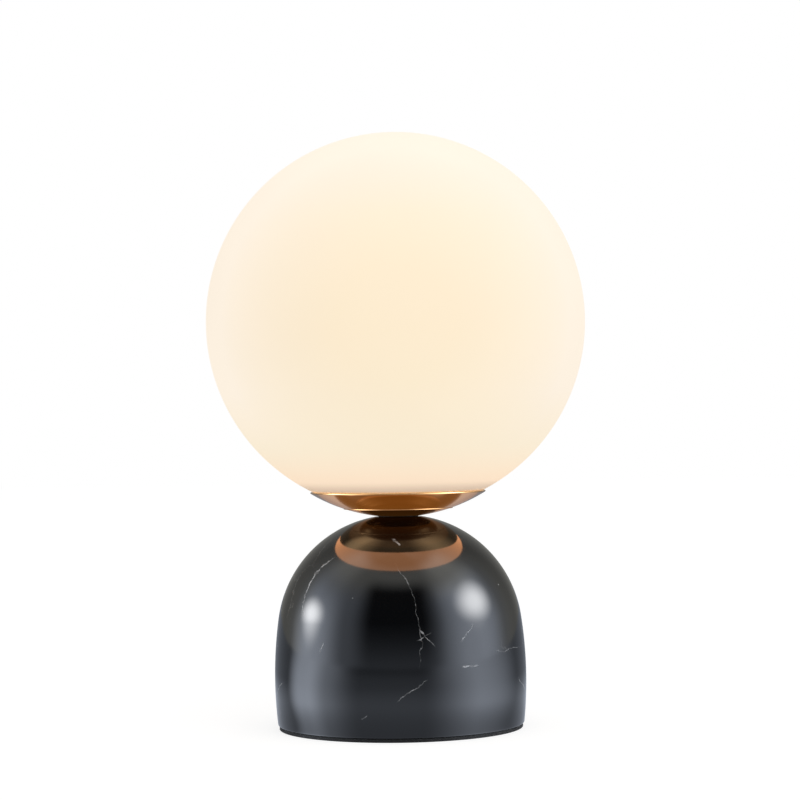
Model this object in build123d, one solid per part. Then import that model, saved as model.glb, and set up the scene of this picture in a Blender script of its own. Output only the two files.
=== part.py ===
from build123d import *
import math
import os

# Table lamp: an opal glass globe rests in a shallow spun brass dish on a domed
# marble base, with a push-in capsule bulb on a hollow threaded tube.
# Millimetres, +Z up. The origin is the centre of the pad's underside, on the
# table. The front faces -Y and the cord inlet faces +Y.

# Glass globe
globe_radius = 100.0
globe_wall = 2.5
globe_mouth_radius = 24.0
globe_clearance = 0.35

# Spun brass dish
dish_radius = 46.3
dish_wall = 0.9
dish_land_radius = 11.1
dish_bead_radius = 28.6
dish_bead_size = 0.3

# Silicone ring between the dish and the globe
seat_inner_radius = 29.0
seat_outer_radius = 37.0
seat_thickness = 0.95
seat_clearance = 0.25

# Marble base: crown, shoulder and side are tangent arcs, measured from the top
dome_apex_z = 112.1
dome_flat_depth = 1.1
crown_curve = 72.0
crown_slope = 13.3
shoulder_curve = 62.4
shoulder_slope = 81.7
side_curve = 220.0
base_edge_round = 1.0
recess_radius = 35.0
recess_depth = 28.0

# Pad, and the soft washer between marble and dish
pad_thickness = 2.0
pad_inset = 0.7
dome_washer_thickness = 0.4
dome_washer_radius = 10.4

# Threaded tube, its nuts and washers
tube_radius = 5.0
tube_bore_radius = 3.5
tube_hole_clearance = 1.0
thread_clearance = 0.05
nut_across_flats = 14.0
base_nut_height = 5.0
dish_nut_height = 4.0
nut_chamfer = 0.6
tube_tail = 2.0
lock_washer_thickness = 1.2
lock_washer_radius = 9.0
dish_washer_thickness = 1.0
dish_washer_radius = 9.0
end_bush_flange = 1.4
end_bush_wall = 0.8
end_bush_sleeve = 6.0

# Wiring plate under the marble, with its screws
plate_radius = 31.0
plate_thickness = 1.5
small_screw_radius = 1.25
small_screw_head_radius = 2.4
small_screw_head_height = 1.6

# Cord inlet at the back
inlet_height = 12.0
inlet_bore_radius = 3.1
inlet_sleeve_radius = 5.0
inlet_sleeve_length = 14.0
inlet_flange_radius = 7.0
inlet_flange_thickness = 2.0
inlet_sink = 1.6
fit_clearance = 0.1

# Cord clamp
clamp_length = 26.0
clamp_width = 8.0
clamp_height = 5.0
clamp_gap = 2.2
clamp_groove_radius = 3.0
clamp_screw_spacing = 18.0
clamp_y = 22.0

# Terminal block
block_x = -20.0
block_y = 2.0
block_width = 18.0
block_length = 15.0
block_height = 12.5
pole_spacing = 9.0
barrel_radius = 2.6
barrel_bore_radius = 1.5
barrel_end_gap = 1.0
terminal_screw_radius = 1.4
terminal_screw_spacing = 7.6
terminal_screw_head_radius = 1.9

# Insulated leads
lead_radius = 0.9
lead_spacing = 2.0
lead_bend_share = 0.45
lead_bared_end = 4.0
lead_exit_length = 10.5
lead_low_z = 8.5
lead_spread_drop = 1.5
lead_spread_rise = 6.5

# Finger spring that holds the globe's mouth
spring_thickness = 0.4
spring_ring_radius = 10.6
spring_finger_width = 7.0
spring_fingers = 3
spring_gap = 0.3

# Bulb holder
cup_radius = 13.5
cup_wall = 1.0
cup_floor = 1.2
cup_height = 22.0
cup_collar_radius = 7.5
cup_collar_height = 2.1
ceramic_gap = 0.3
ceramic_hollow_radius = 9.5
ceramic_hollow_height = 16.0
ceramic_flange_height = 6.0
turret_length = 18.0
turret_width = 11.0
turret_height = 11.0
turret_corner = 3.0
slot_length = 4.4
slot_width = 4.0
slot_depth = 10.0
holder_screw_radius = 1.2
holder_screw_head_radius = 2.2
holder_screw_head_height = 1.7
holder_screw_offset = 8.6
contact_thickness = 0.4
contact_width = 3.0
contact_height = 8.0
contact_gap = 0.3
crimp_length = 4.0
crimp_wall = 0.4

# Capsule bulb
pin_spacing = 9.0
pin_wire_radius = 0.375
pin_loop_width = 2.6
pin_length = 8.5
pin_sink = 3.0
bulb_gap = 0.3
bulb_foot_length = 15.5
bulb_foot_width = 7.6
bulb_foot_height = 9.0
bulb_collar_radius = 8.0
bulb_collar_height = 6.0
bulb_edge = 0.8
bulb_cover_radius = 7.8
bulb_cover_wall = 0.8
bulb_cover_length = 22.0
bulb_spigot_height = 2.5
board_width = 10.5
board_length = 24.0
board_thickness = 1.0
board_sink = 3.0
led_rows = 4
led_size = 2.8
led_height = 0.7

BOTTOM = (Align.CENTER, Align.CENTER, Align.MIN)
TOP = (Align.CENTER, Align.CENTER, Align.MAX)

# Heights that follow from the stack of pieces
dome_land_z = dome_apex_z - dome_flat_depth
recess_top_z = pad_thickness + recess_depth
plate_bottom_z = recess_top_z - plate_thickness
base_nut_top_z = plate_bottom_z - lock_washer_thickness
base_nut_bottom_z = base_nut_top_z - base_nut_height
tube_bottom_z = base_nut_bottom_z - tube_tail
dish_land_z = dome_land_z + dome_washer_thickness
dish_floor_z = dish_land_z + dish_wall
dish_washer_z = dish_floor_z + spring_thickness
dish_nut_z = dish_washer_z + dish_washer_thickness
cup_bottom_z = dish_nut_z + dish_nut_height
cup_floor_z = cup_bottom_z + cup_floor
tube_top_z = cup_floor_z + cup_collar_height + end_bush_wall
ceramic_flange_z = cup_floor_z + ceramic_hollow_height
turret_z = ceramic_flange_z + ceramic_flange_height
turret_top_z = turret_z + turret_height
slot_floor_z = turret_top_z - slot_depth
bulb_bottom_z = turret_top_z + bulb_gap
bulb_collar_z = bulb_bottom_z + bulb_foot_height
bulb_cover_z = bulb_collar_z + bulb_collar_height

# Dish and globe are spheres with centres on one axis. The dish's middle face
# keeps one distance from the glass at its rim and another over the seat ring,
# and these two set its curve and how far its centre lies below the globe's.
rim_radius = dish_radius - dish_wall / 2
rim_reach = globe_radius + globe_clearance + dish_wall / 2
seat_radius = (seat_inner_radius + seat_outer_radius) / 2
seat_reach = globe_radius + seat_clearance + seat_thickness + thread_clearance + dish_wall / 2
rim_depth = math.sqrt(rim_reach ** 2 - rim_radius ** 2)
seat_depth = math.sqrt(seat_reach ** 2 - seat_radius ** 2)
centre_drop = (seat_reach ** 2 - rim_reach ** 2) / (2 * (seat_depth - rim_depth))
dish_mid_curve = math.hypot(rim_radius, rim_depth - centre_drop)
dish_curve = dish_mid_curve + dish_wall / 2
dish_inner_curve = dish_mid_curve - dish_wall / 2
rim_angle = math.asin(rim_radius / dish_mid_curve)

# The dish's outer face meets its flat land, which sets the heights
dish_centre_z = dish_land_z + math.sqrt(dish_curve ** 2 - dish_land_radius ** 2)
globe_centre_z = dish_centre_z + centre_drop
rim_z = globe_centre_z - rim_depth
globe_mid_radius = globe_radius - globe_wall / 2
mouth_angle = math.asin((globe_mouth_radius + globe_wall / 2) / globe_mid_radius)


def bowl_point(centre_z, radius, angle):
    """A point on a sphere's meridian, by its angle from straight down."""
    return (radius * math.sin(angle), 0, centre_z - radius * math.cos(angle))


def bowl_arc(centre_z, radius, start, end):
    """An arc of a sphere's meridian between two angles from straight down."""
    return ThreePointArc(
        bowl_point(centre_z, radius, start),
        bowl_point(centre_z, radius, (start + end) / 2),
        bowl_point(centre_z, radius, end),
    )


def angle_at_radius(sphere_radius, radius):
    return math.asin(radius / sphere_radius)


def turned(*edges):
    """A solid of revolution about Z from a closed outline in the XZ plane."""
    return revolve(make_face(edges), axis=Axis.Z)


def ring(outer, inner, bottom, top):
    """A flat ring or a sleeve between two heights."""
    height = top - bottom
    solid = Cylinder(outer, height, align=BOTTOM) - Cylinder(inner, height, align=BOTTOM)
    return Pos(0, 0, bottom) * solid


def hex_nut(across_flats, bore, bottom, top):
    """A chamfered hexagon nut with a plain bore."""
    height = top - bottom
    body = extrude(RegularPolygon(across_flats / 2, 6, major_radius=False), height)
    corner = across_flats / math.sqrt(3)
    waist = across_flats / 2 + nut_chamfer
    outline = Polyline(
        (0, 0, 0),
        (across_flats / 2, 0, 0),
        (waist, 0, nut_chamfer * 0.6),
        (corner + nut_chamfer, 0, height / 2),
        (waist, 0, height - nut_chamfer * 0.6),
        (across_flats / 2, 0, height),
        (0, 0, height),
        close=True,
    )
    body = body & revolve(make_face(outline), axis=Axis.Z)
    body -= Cylinder(bore, height, align=BOTTOM)
    return Pos(0, 0, bottom) * body


def hanging_screw(radius, head_radius, head_height, top, seat):
    """A pan-head screw along Z whose head hangs below its seat, for screws
    that are driven from underneath."""
    shank = Pos(0, 0, seat) * Cylinder(radius, top - seat, align=BOTTOM)
    head = Cylinder(head_radius, head_height, align=TOP)
    head = fillet(head.edges().group_by(Axis.Z)[0], head_height * 0.4)
    slot = Pos(0, 0, -head_height) * Box(2.5 * head_radius, 0.5, 0.6, align=BOTTOM)
    return shank + Pos(0, 0, seat) * (head - slot)


def save(name, *solids):
    """Write one node as its own file."""
    shape = solids[0] if len(solids) == 1 else Compound(children=list(solids))
    export_step(shape, os.path.join("parts", name + ".step"))


# Marble base and pad

def dome_arcs():
    """The crown, shoulder and side arcs, each as centre, radius and end angles
    measured from straight up."""
    crown_end = math.radians(crown_slope)
    shoulder_end = math.radians(shoulder_slope)
    crown_centre = (0, dome_apex_z - crown_curve)
    step = crown_curve - shoulder_curve
    shoulder_centre = (
        crown_centre[0] + step * math.sin(crown_end),
        crown_centre[1] + step * math.cos(crown_end),
    )
    step = shoulder_curve - side_curve
    side_centre = (
        shoulder_centre[0] + step * math.sin(shoulder_end),
        shoulder_centre[1] + step * math.cos(shoulder_end),
    )
    flat_start = math.acos(1 - dome_flat_depth / crown_curve)
    foot = math.pi / 2 + math.asin((side_centre[1] - pad_thickness) / side_curve)
    return [
        (crown_centre, crown_curve, flat_start, crown_end),
        (shoulder_centre, shoulder_curve, crown_end, shoulder_end),
        (side_centre, side_curve, shoulder_end, foot),
    ]


def dome_point(arc, angle):
    centre, radius = arc[0], arc[1]
    return (centre[0] + radius * math.sin(angle), 0, centre[1] + radius * math.cos(angle))


def side_radius_at(height):
    """The marble's outer radius at a height on its side arc."""
    centre, radius = dome_arcs()[2][:2]
    return centre[0] + math.sqrt(radius ** 2 - (height - centre[1]) ** 2)


foot_radius = side_radius_at(pad_thickness)
inlet_floor_y = side_radius_at(inlet_height) - inlet_sink


def marble_base():
    arcs = dome_arcs()
    edges = []
    for arc in arcs:
        start, end = arc[2], arc[3]
        points = [dome_point(arc, a) for a in (start, (start + end) / 2, end)]
        edges.append(ThreePointArc(*points))
    land = dome_point(arcs[0], arcs[0][2])
    foot = dome_point(arcs[2], arcs[2][3])
    edges.append(Line((0, 0, dome_land_z), land))
    edges.append(Line(foot, (0, 0, foot[2])))
    edges.append(Line((0, 0, foot[2]), (0, 0, dome_land_z)))
    body = turned(*edges)
    rim = body.edges().filter_by(GeomType.CIRCLE).group_by(Axis.Z)[0]
    body = fillet(rim, base_edge_round)
    body -= Pos(0, 0, pad_thickness) * Cylinder(recess_radius, recess_depth, align=BOTTOM)
    tube_hole = tube_radius + tube_hole_clearance
    body -= Pos(0, 0, recess_top_z) * Cylinder(tube_hole, dome_land_z, align=BOTTOM)
    inlet = Pos(0, 0, inlet_height) * Rot(-90, 0, 0)
    body -= inlet * Cylinder(inlet_sleeve_radius + fit_clearance, inlet_floor_y + 1, align=BOTTOM)
    counterbore = Cylinder(inlet_flange_radius + fit_clearance, recess_radius, align=BOTTOM)
    body -= inlet * Pos(0, 0, inlet_floor_y) * counterbore
    return body


def base_pad():
    return Cylinder(foot_radius - pad_inset, pad_thickness, align=BOTTOM)


def cord_bush():
    """A flanged sleeve that lines the cord's way into the marble."""
    start = inlet_floor_y - inlet_sleeve_length
    sleeve = ring(inlet_sleeve_radius, inlet_bore_radius, start, inlet_floor_y)
    flange_end = inlet_floor_y + inlet_flange_thickness
    flange = ring(inlet_flange_radius, inlet_bore_radius, inlet_floor_y, flange_end)
    outer_edges = flange.edges().filter_by(GeomType.CIRCLE).group_by(Axis.Z)[-1]
    flange = fillet(outer_edges.sort_by(SortBy.RADIUS)[-1], inlet_flange_thickness * 0.4)
    return Pos(0, 0, inlet_height) * Rot(-90, 0, 0) * (sleeve + flange)


def dome_washer():
    return ring(dome_washer_radius, tube_radius + fit_clearance, dome_land_z, dish_land_z)


# Wiring plate and what hangs from it

def plate_screw_places():
    """Where screws go into the wiring plate: the clamp's two and the block's."""
    half = clamp_screw_spacing / 2
    return [(-half, clamp_y), (half, clamp_y), (block_x, block_y)]


def wiring_plate():
    plate = ring(plate_radius, tube_radius + fit_clearance, plate_bottom_z, recess_top_z)
    for x, y in plate_screw_places():
        hole = Cylinder(small_screw_radius + thread_clearance, plate_thickness, align=BOTTOM)
        plate -= Pos(x, y, plate_bottom_z) * hole
    return plate


def cord_clamp():
    """A saddle bar that two screws draw up against the plate."""
    bar = Box(clamp_length, clamp_width, clamp_height, align=TOP)
    bar = fillet(bar.edges().filter_by(Axis.Z), clamp_width * 0.3)
    groove = Rot(90, 0, 0) * Cylinder(clamp_groove_radius, 2 * clamp_width)
    bar -= groove
    for side in (-1, 1):
        hole = Cylinder(small_screw_radius + fit_clearance, clamp_height, align=TOP)
        bar -= Pos(side * clamp_screw_spacing / 2, 0, 0) * hole
    return Pos(0, clamp_y, plate_bottom_z - clamp_gap) * bar


def cord_clamp_screws():
    seat = plate_bottom_z - clamp_gap - clamp_height
    screw = hanging_screw(
        small_screw_radius, small_screw_head_radius, small_screw_head_height, recess_top_z, seat
    )
    half = clamp_screw_spacing / 2
    return [Pos(side * half, clamp_y, 0) * screw for side in (-1, 1)]


block_bottom_z = plate_bottom_z - block_height
pole_z = plate_bottom_z - block_height / 2
pole_places = [block_x - pole_spacing / 2, block_x + pole_spacing / 2]
terminal_places = [(x, block_y + side * terminal_screw_spacing / 2) for x in pole_places for side in (-1, 1)]


def terminal_block():
    """A two-pole block with a brass barrel in each pole."""
    block = Box(block_width, block_length, block_height, align=TOP)
    block = fillet(block.edges().filter_by(Axis.Z), 1.2)
    block = Pos(block_x, block_y, plate_bottom_z) * block
    for x in pole_places:
        tunnel = Rot(90, 0, 0) * Cylinder(barrel_radius + fit_clearance, 2 * block_length)
        block -= Pos(x, block_y, pole_z) * tunnel
    for x, y in terminal_places:
        well = Cylinder(terminal_screw_head_radius + fit_clearance, pole_z - block_bottom_z, align=BOTTOM)
        block -= Pos(x, y, block_bottom_z) * well
    hole = Cylinder(small_screw_radius + fit_clearance, block_height, align=TOP)
    block -= Pos(block_x, block_y, plate_bottom_z) * hole
    return block


def terminal_barrels():
    length = block_length - 2 * barrel_end_gap
    barrels = []
    for x in pole_places:
        barrel = Rot(90, 0, 0) * Cylinder(barrel_radius, length)
        barrel -= Rot(90, 0, 0) * Cylinder(barrel_bore_radius, length)
        for side in (-1, 1):
            hole = Cylinder(terminal_screw_radius + thread_clearance, 2 * barrel_radius, align=TOP)
            barrel -= Pos(0, side * terminal_screw_spacing / 2, 0) * hole
        barrels.append(Pos(x, block_y, pole_z) * barrel)
    return barrels


def terminal_screws():
    """Slotted screws that clamp the leads, one at each end of each barrel."""
    seat = pole_z - barrel_radius - fit_clearance
    head = seat - block_bottom_z - fit_clearance
    tip = pole_z - lead_radius - thread_clearance
    screw = hanging_screw(terminal_screw_radius, terminal_screw_head_radius, head, tip, seat)
    return [Pos(x, y, 0) * screw for x, y in terminal_places]


def terminal_block_screw():
    screw = hanging_screw(
        small_screw_radius, small_screw_head_radius, small_screw_head_height, recess_top_z, block_bottom_z
    )
    return Pos(block_x, block_y, 0) * screw


# Tube, nuts and washers

def threaded_tube():
    return ring(tube_radius, tube_bore_radius, tube_bottom_z, tube_top_z)


def base_nut():
    return hex_nut(nut_across_flats, tube_radius + thread_clearance, base_nut_bottom_z, base_nut_top_z)


def base_lock_washer():
    return ring(lock_washer_radius, tube_radius + fit_clearance, base_nut_top_z, plate_bottom_z)


def tube_end_bush():
    """A plastic bush that keeps the leads off the tube's cut lower end."""
    sleeve_radius = tube_bore_radius - fit_clearance
    bore = sleeve_radius - end_bush_wall
    flange = ring(tube_radius + end_bush_wall, bore, tube_bottom_z - end_bush_flange, tube_bottom_z)
    return flange + ring(sleeve_radius, bore, tube_bottom_z, tube_bottom_z + end_bush_sleeve)


def dish_washer():
    return ring(dish_washer_radius, tube_radius + fit_clearance, dish_washer_z, dish_nut_z)


def dish_nut():
    return hex_nut(nut_across_flats, tube_radius + thread_clearance, dish_nut_z, cup_bottom_z)


# Dish, its seat ring and the globe

def brass_dish():
    """A spun dish with a flat land, a rounded rim and a fine bead outside."""
    outer_start = angle_at_radius(dish_curve, dish_land_radius)
    inner_start = math.acos((dish_centre_z - dish_floor_z) / dish_inner_curve)
    outer = bowl_arc(dish_centre_z, dish_curve, outer_start, rim_angle)
    inner = bowl_arc(dish_centre_z, dish_inner_curve, inner_start, rim_angle)
    tip = (
        rim_radius + math.cos(rim_angle) * dish_wall / 2,
        0,
        rim_z + math.sin(rim_angle) * dish_wall / 2,
    )
    rim = ThreePointArc(outer @ 1, tip, inner @ 1)
    hole = tube_radius + fit_clearance
    body = turned(
        Line((hole, 0, dish_land_z), outer @ 0),
        outer,
        rim,
        inner,
        Line(inner @ 0, (hole, 0, dish_floor_z)),
        Line((hole, 0, dish_floor_z), (hole, 0, dish_land_z)),
    )
    place = bowl_point(dish_centre_z, dish_curve, angle_at_radius(dish_curve, dish_bead_radius))
    return body + Pos(0, 0, place[2]) * Torus(dish_bead_radius, dish_bead_size)


def globe_seat():
    """A thin silicone ring that follows the dish below and the glass above."""
    lower = dish_inner_curve - thread_clearance
    upper = globe_radius + seat_clearance
    under = [angle_at_radius(lower, r) for r in (seat_inner_radius, seat_outer_radius)]
    over = [angle_at_radius(upper, r) for r in (seat_inner_radius, seat_outer_radius)]
    bottom = bowl_arc(dish_centre_z, lower, *under)
    top = bowl_arc(globe_centre_z, upper, *over)
    return turned(bottom, Line(bottom @ 1, top @ 1), top, Line(top @ 0, bottom @ 0))


def glass_globe():
    """A blown ball of even wall with a fire-polished mouth."""
    inner_radius = globe_radius - globe_wall
    outer = bowl_arc(globe_centre_z, globe_radius, mouth_angle, math.pi)
    inner = bowl_arc(globe_centre_z, inner_radius, mouth_angle, math.pi)
    middle = bowl_point(globe_centre_z, globe_mid_radius, mouth_angle)
    tip = (
        middle[0] - math.cos(mouth_angle) * globe_wall / 2,
        0,
        middle[2] - math.sin(mouth_angle) * globe_wall / 2,
    )
    lip = ThreePointArc(outer @ 0, tip, inner @ 0)
    return turned(outer, Line(outer @ 1, inner @ 1), inner, lip)


def strip(points, thickness):
    """A closed outline of even thickness round a run of points in XZ."""
    sides = [[], []]
    for i, point in enumerate(points):
        before = points[max(i - 1, 0)]
        after = points[min(i + 1, len(points) - 1)]
        first = Vector(point[0] - before[0], point[1] - before[1])
        second = Vector(after[0] - point[0], after[1] - point[1])
        first = first.normalized() if first.length else second.normalized()
        second = second.normalized() if second.length else first
        along = (first + second).normalized()
        reach = thickness / 2 / max(along.dot(first), 0.5)
        for side, sign in zip(sides, (1, -1)):
            x = point[0] - sign * along.Y * reach
            z = point[1] + sign * along.X * reach
            side.append((x, 0, z))
    return Polyline(*sides[0], *reversed(sides[1]), close=True)


def globe_spring():
    """A stamped spider whose fingers pass up through the mouth and hook over
    the glass, so that the globe pulls straight off."""
    lip = bowl_point(globe_centre_z, globe_mid_radius, mouth_angle)
    lip_reach = globe_wall / 2 + spring_gap + spring_thickness / 2
    ring_z = dish_floor_z + spring_thickness / 2
    neck = lip[0] - lip_reach
    run = neck - spring_ring_radius
    points = [
        (spring_ring_radius - 1, ring_z),
        (spring_ring_radius, ring_z),
        (spring_ring_radius + run * 0.35, ring_z + 1.6),
        (neck - 0.4, lip[2] - lip_reach),
        (neck, lip[2]),
        (neck + 0.1, lip[2] + lip_reach * 0.5),
        (lip[0] + 0.9, lip[2] + lip_reach + 1.1),
        (lip[0] + 0.5, lip[2] + lip_reach + 2.6),
        (lip[0] - 1.6, lip[2] + lip_reach + 5.0),
    ]
    outline = make_face(strip(points, spring_thickness))
    finger = extrude(outline, spring_finger_width / 2, dir=(0, 1, 0), both=True)
    body = ring(spring_ring_radius, tube_radius + fit_clearance, dish_floor_z, dish_washer_z)
    for i in range(spring_fingers):
        body += Rot(0, 0, 90 + i * 360 / spring_fingers) * finger
    return body


# Bulb holder

def holder_cup():
    """A drawn steel cup that screws down the tube onto the dish's nut."""
    cup_top = cup_bottom_z + cup_height
    wall = ring(cup_radius, cup_radius - cup_wall, cup_bottom_z, cup_top)
    floor = Pos(0, 0, cup_bottom_z) * Cylinder(cup_radius, cup_floor, align=BOTTOM)
    cup = wall + floor
    foot = cup.edges().filter_by(GeomType.CIRCLE).group_by(Axis.Z)[0]
    cup = fillet(foot, cup_wall * 0.8)
    cup += Pos(0, 0, cup_floor_z) * Cylinder(cup_collar_radius, cup_collar_height, align=BOTTOM)
    cup -= Pos(0, 0, cup_bottom_z) * Cylinder(tube_radius + thread_clearance, cup_height, align=BOTTOM)
    for side in (-1, 1):
        hole = Cylinder(holder_screw_radius + thread_clearance, cup_height, align=BOTTOM)
        cup -= Pos(0, side * holder_screw_offset, cup_bottom_z) * hole
    return cup


def holder_body():
    """The ceramic insert: a hollow skirt, a flange with two screw wells and a
    turret with a slot for each pin of the bulb."""
    radius = cup_radius - cup_wall - ceramic_gap
    body = Pos(0, 0, cup_floor_z) * Cylinder(radius, turret_z - cup_floor_z, align=BOTTOM)
    body -= Pos(0, 0, cup_floor_z) * Cylinder(ceramic_hollow_radius, ceramic_hollow_height, align=BOTTOM)
    plan = RectangleRounded(turret_length, turret_width, turret_corner)
    turret = extrude(plan, turret_height)
    turret = fillet(turret.edges().group_by(Axis.Z)[-1], 0.8)
    body += Pos(0, 0, turret_z) * turret
    for side in (-1, 1):
        slot = Box(slot_length, slot_width, slot_depth, align=BOTTOM)
        body -= Pos(side * pin_spacing / 2, 0, slot_floor_z) * slot
        tail_hole = Cylinder(lead_radius + crimp_wall + ceramic_gap, slot_depth + turret_height, align=TOP)
        body -= Pos(side * pin_spacing / 2, 0, slot_floor_z) * tail_hole
        well = Cylinder(holder_screw_head_radius + fit_clearance, turret_height, align=BOTTOM)
        body -= Pos(0, side * holder_screw_offset, turret_z - holder_screw_head_height) * well
        hole = Cylinder(holder_screw_radius + fit_clearance, turret_z, align=BOTTOM)
        body -= Pos(0, side * holder_screw_offset, cup_floor_z) * hole
    return body


def holder_screws():
    """Two screws that hold the ceramic down in the cup."""
    seat = turret_z - holder_screw_head_height
    shank = Pos(0, 0, cup_bottom_z) * Cylinder(holder_screw_radius, seat - cup_bottom_z, align=BOTTOM)
    head = Cylinder(holder_screw_head_radius, holder_screw_head_height, align=BOTTOM)
    slot = Pos(0, 0, holder_screw_head_height) * Box(3 * holder_screw_head_radius, 0.6, 0.7, align=TOP)
    screw = shank + Pos(0, 0, seat) * (head - slot)
    return [Pos(0, side * holder_screw_offset, 0) * screw for side in (-1, 1)]


crimp_outer = lead_radius + thread_clearance + crimp_wall
crimp_top_z = slot_floor_z - slot_depth
crimp_bottom_z = crimp_top_z - crimp_length


def holder_contacts():
    """A forked bronze contact for each pin, with a crimped tail for its lead."""
    web_z = slot_floor_z + fit_clearance
    half_gap = pin_wire_radius + contact_gap
    span = 2 * (half_gap + contact_thickness)
    web = Pos(0, 0, web_z) * Box(contact_width, span, contact_thickness, align=BOTTOM)
    contact = web
    for side in (-1, 1):
        leaf = Box(contact_width, contact_thickness, contact_height, align=BOTTOM)
        contact += Pos(0, side * (half_gap + contact_thickness / 2), web_z) * leaf
    contact += ring(crimp_outer, lead_radius + thread_clearance, crimp_bottom_z, crimp_top_z)
    tail_y = -crimp_outer + crimp_wall / 2
    tail_height = web_z + contact_thickness - crimp_bottom_z
    contact += Pos(0, tail_y, crimp_bottom_z) * Box(1.2, crimp_wall, tail_height, align=BOTTOM)
    bridge = crimp_outer - half_gap
    contact += Pos(0, -half_gap - bridge / 2, web_z) * Box(1.2, bridge, contact_thickness, align=BOTTOM)
    return [Pos(side * pin_spacing / 2, 0, 0) * contact for side in (-1, 1)]


# Leads from the terminal block up the tube to the contacts

def lead(points):
    """An insulated lead along straight runs that tangent arcs join."""
    vectors = [Vector(*p) for p in points]
    runs = [b - a for a, b in zip(vectors, vectors[1:])]
    radii = []
    for before, after in zip(runs, runs[1:]):
        turn = math.radians(before.get_angle(after))
        shorter = min(before.length, after.length)
        radii.append(lead_bend_share * shorter / math.tan(turn / 2))
    print("lead bend radii", [round(r, 1) for r in radii])
    path = FilletPolyline(*points, radius=radii)
    section = Plane(origin=path @ 0, z_dir=path % 0) * Circle(lead_radius)
    return sweep(section, path=path)


def lead_route(pole_x, slack, side):
    """From a pole's barrel, round the recess and up the tube to a contact."""
    start_y = block_y - block_length / 2 + barrel_end_gap + lead_bared_end
    tube_x = side * lead_spacing / 2
    spread_z = tube_top_z - lead_spread_drop
    return [
        (pole_x, start_y, pole_z),
        (pole_x, start_y - lead_exit_length, pole_z),
        *slack,
        (tube_x, 0, lead_low_z),
        (tube_x, 0, spread_z),
        (side * pin_spacing / 2, 0, spread_z + lead_spread_rise),
        (side * pin_spacing / 2, 0, crimp_top_z),
    ]


def live_lead():
    slack = [(-12, -20, 17), (-5, -21, 11), (-lead_spacing / 2, -13.5, lead_low_z)]
    return lead(lead_route(pole_places[1], slack, -1))


def neutral_lead():
    slack = [(-20, -23, 16), (-9, -26, 10), (lead_spacing / 2, -18, lead_low_z)]
    return lead(lead_route(pole_places[0], slack, 1))


# Capsule bulb

pin_leg = pin_loop_width / 2 - pin_wire_radius


def bulb_pins():
    """Two wire loops that push down into the holder's slots."""
    top = bulb_bottom_z + pin_sink
    turn_z = bulb_bottom_z - pin_length + pin_loop_width / 2
    path = Wire([
        Edge.make_line((-pin_leg, 0, top), (-pin_leg, 0, turn_z)),
        Edge.make_three_point_arc((-pin_leg, 0, turn_z), (0, 0, turn_z - pin_leg), (pin_leg, 0, turn_z)),
        Edge.make_line((pin_leg, 0, turn_z), (pin_leg, 0, top)),
    ])
    section = Plane(origin=(-pin_leg, 0, top), z_dir=(0, 0, -1)) * Circle(pin_wire_radius)
    loop = sweep(section, path=path)
    return [Pos(side * pin_spacing / 2, 0, 0) * loop for side in (-1, 1)]


def bulb_base():
    """The moulded foot that carries the pins, with a round collar above."""
    plan = RectangleRounded(bulb_foot_length, bulb_foot_width, bulb_foot_width * 0.3)
    body = Pos(0, 0, bulb_bottom_z) * extrude(plan, bulb_foot_height)
    collar = Cylinder(bulb_collar_radius, bulb_collar_height, align=BOTTOM)
    collar = fillet(collar.edges().filter_by(GeomType.CIRCLE), bulb_edge)
    body += Pos(0, 0, bulb_collar_z) * collar
    spigot = bulb_cover_radius - bulb_cover_wall - fit_clearance
    body += Pos(0, 0, bulb_cover_z) * Cylinder(spigot, bulb_spigot_height, align=BOTTOM)
    for side in (-1, 1):
        for leg in (-1, 1):
            hole = Cylinder(pin_wire_radius + thread_clearance, pin_sink + fit_clearance, align=BOTTOM)
            x = side * pin_spacing / 2 + leg * pin_leg
            body -= Pos(x, 0, bulb_bottom_z) * hole
    depth = board_sink + bulb_spigot_height
    slot = Box(board_width + fit_clearance, board_thickness + fit_clearance, depth, align=BOTTOM)
    body -= Pos(0, 0, bulb_cover_z - board_sink) * slot
    return body


def bulb_cover():
    """The opal capsule: a tube closed by a half sphere."""
    straight_top = bulb_cover_z + bulb_cover_length
    inner = bulb_cover_radius - bulb_cover_wall
    wall = ring(bulb_cover_radius, inner, bulb_cover_z, straight_top)
    dome = Sphere(bulb_cover_radius, arc_size1=0, align=BOTTOM) - Sphere(inner, arc_size1=0, align=BOTTOM)
    return wall + Pos(0, 0, straight_top) * dome


def bulb_board():
    board = Box(board_width, board_thickness, board_length, align=BOTTOM)
    return Pos(0, 0, bulb_cover_z - board_sink) * board


def bulb_leds():
    """Chips in two columns on both faces of the board."""
    first = bulb_cover_z + bulb_spigot_height + led_size
    pitch = (bulb_cover_z - board_sink + board_length - led_size - first) / (led_rows - 1)
    chips = []
    for row in range(led_rows):
        for column in (-1, 1):
            for face in (-1, 1):
                y = face * (board_thickness + led_height) / 2
                chip = Box(led_size, led_height, led_size)
                chips.append(Pos(column * led_size * 0.75, y, first + row * pitch) * chip)
    return chips


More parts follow.
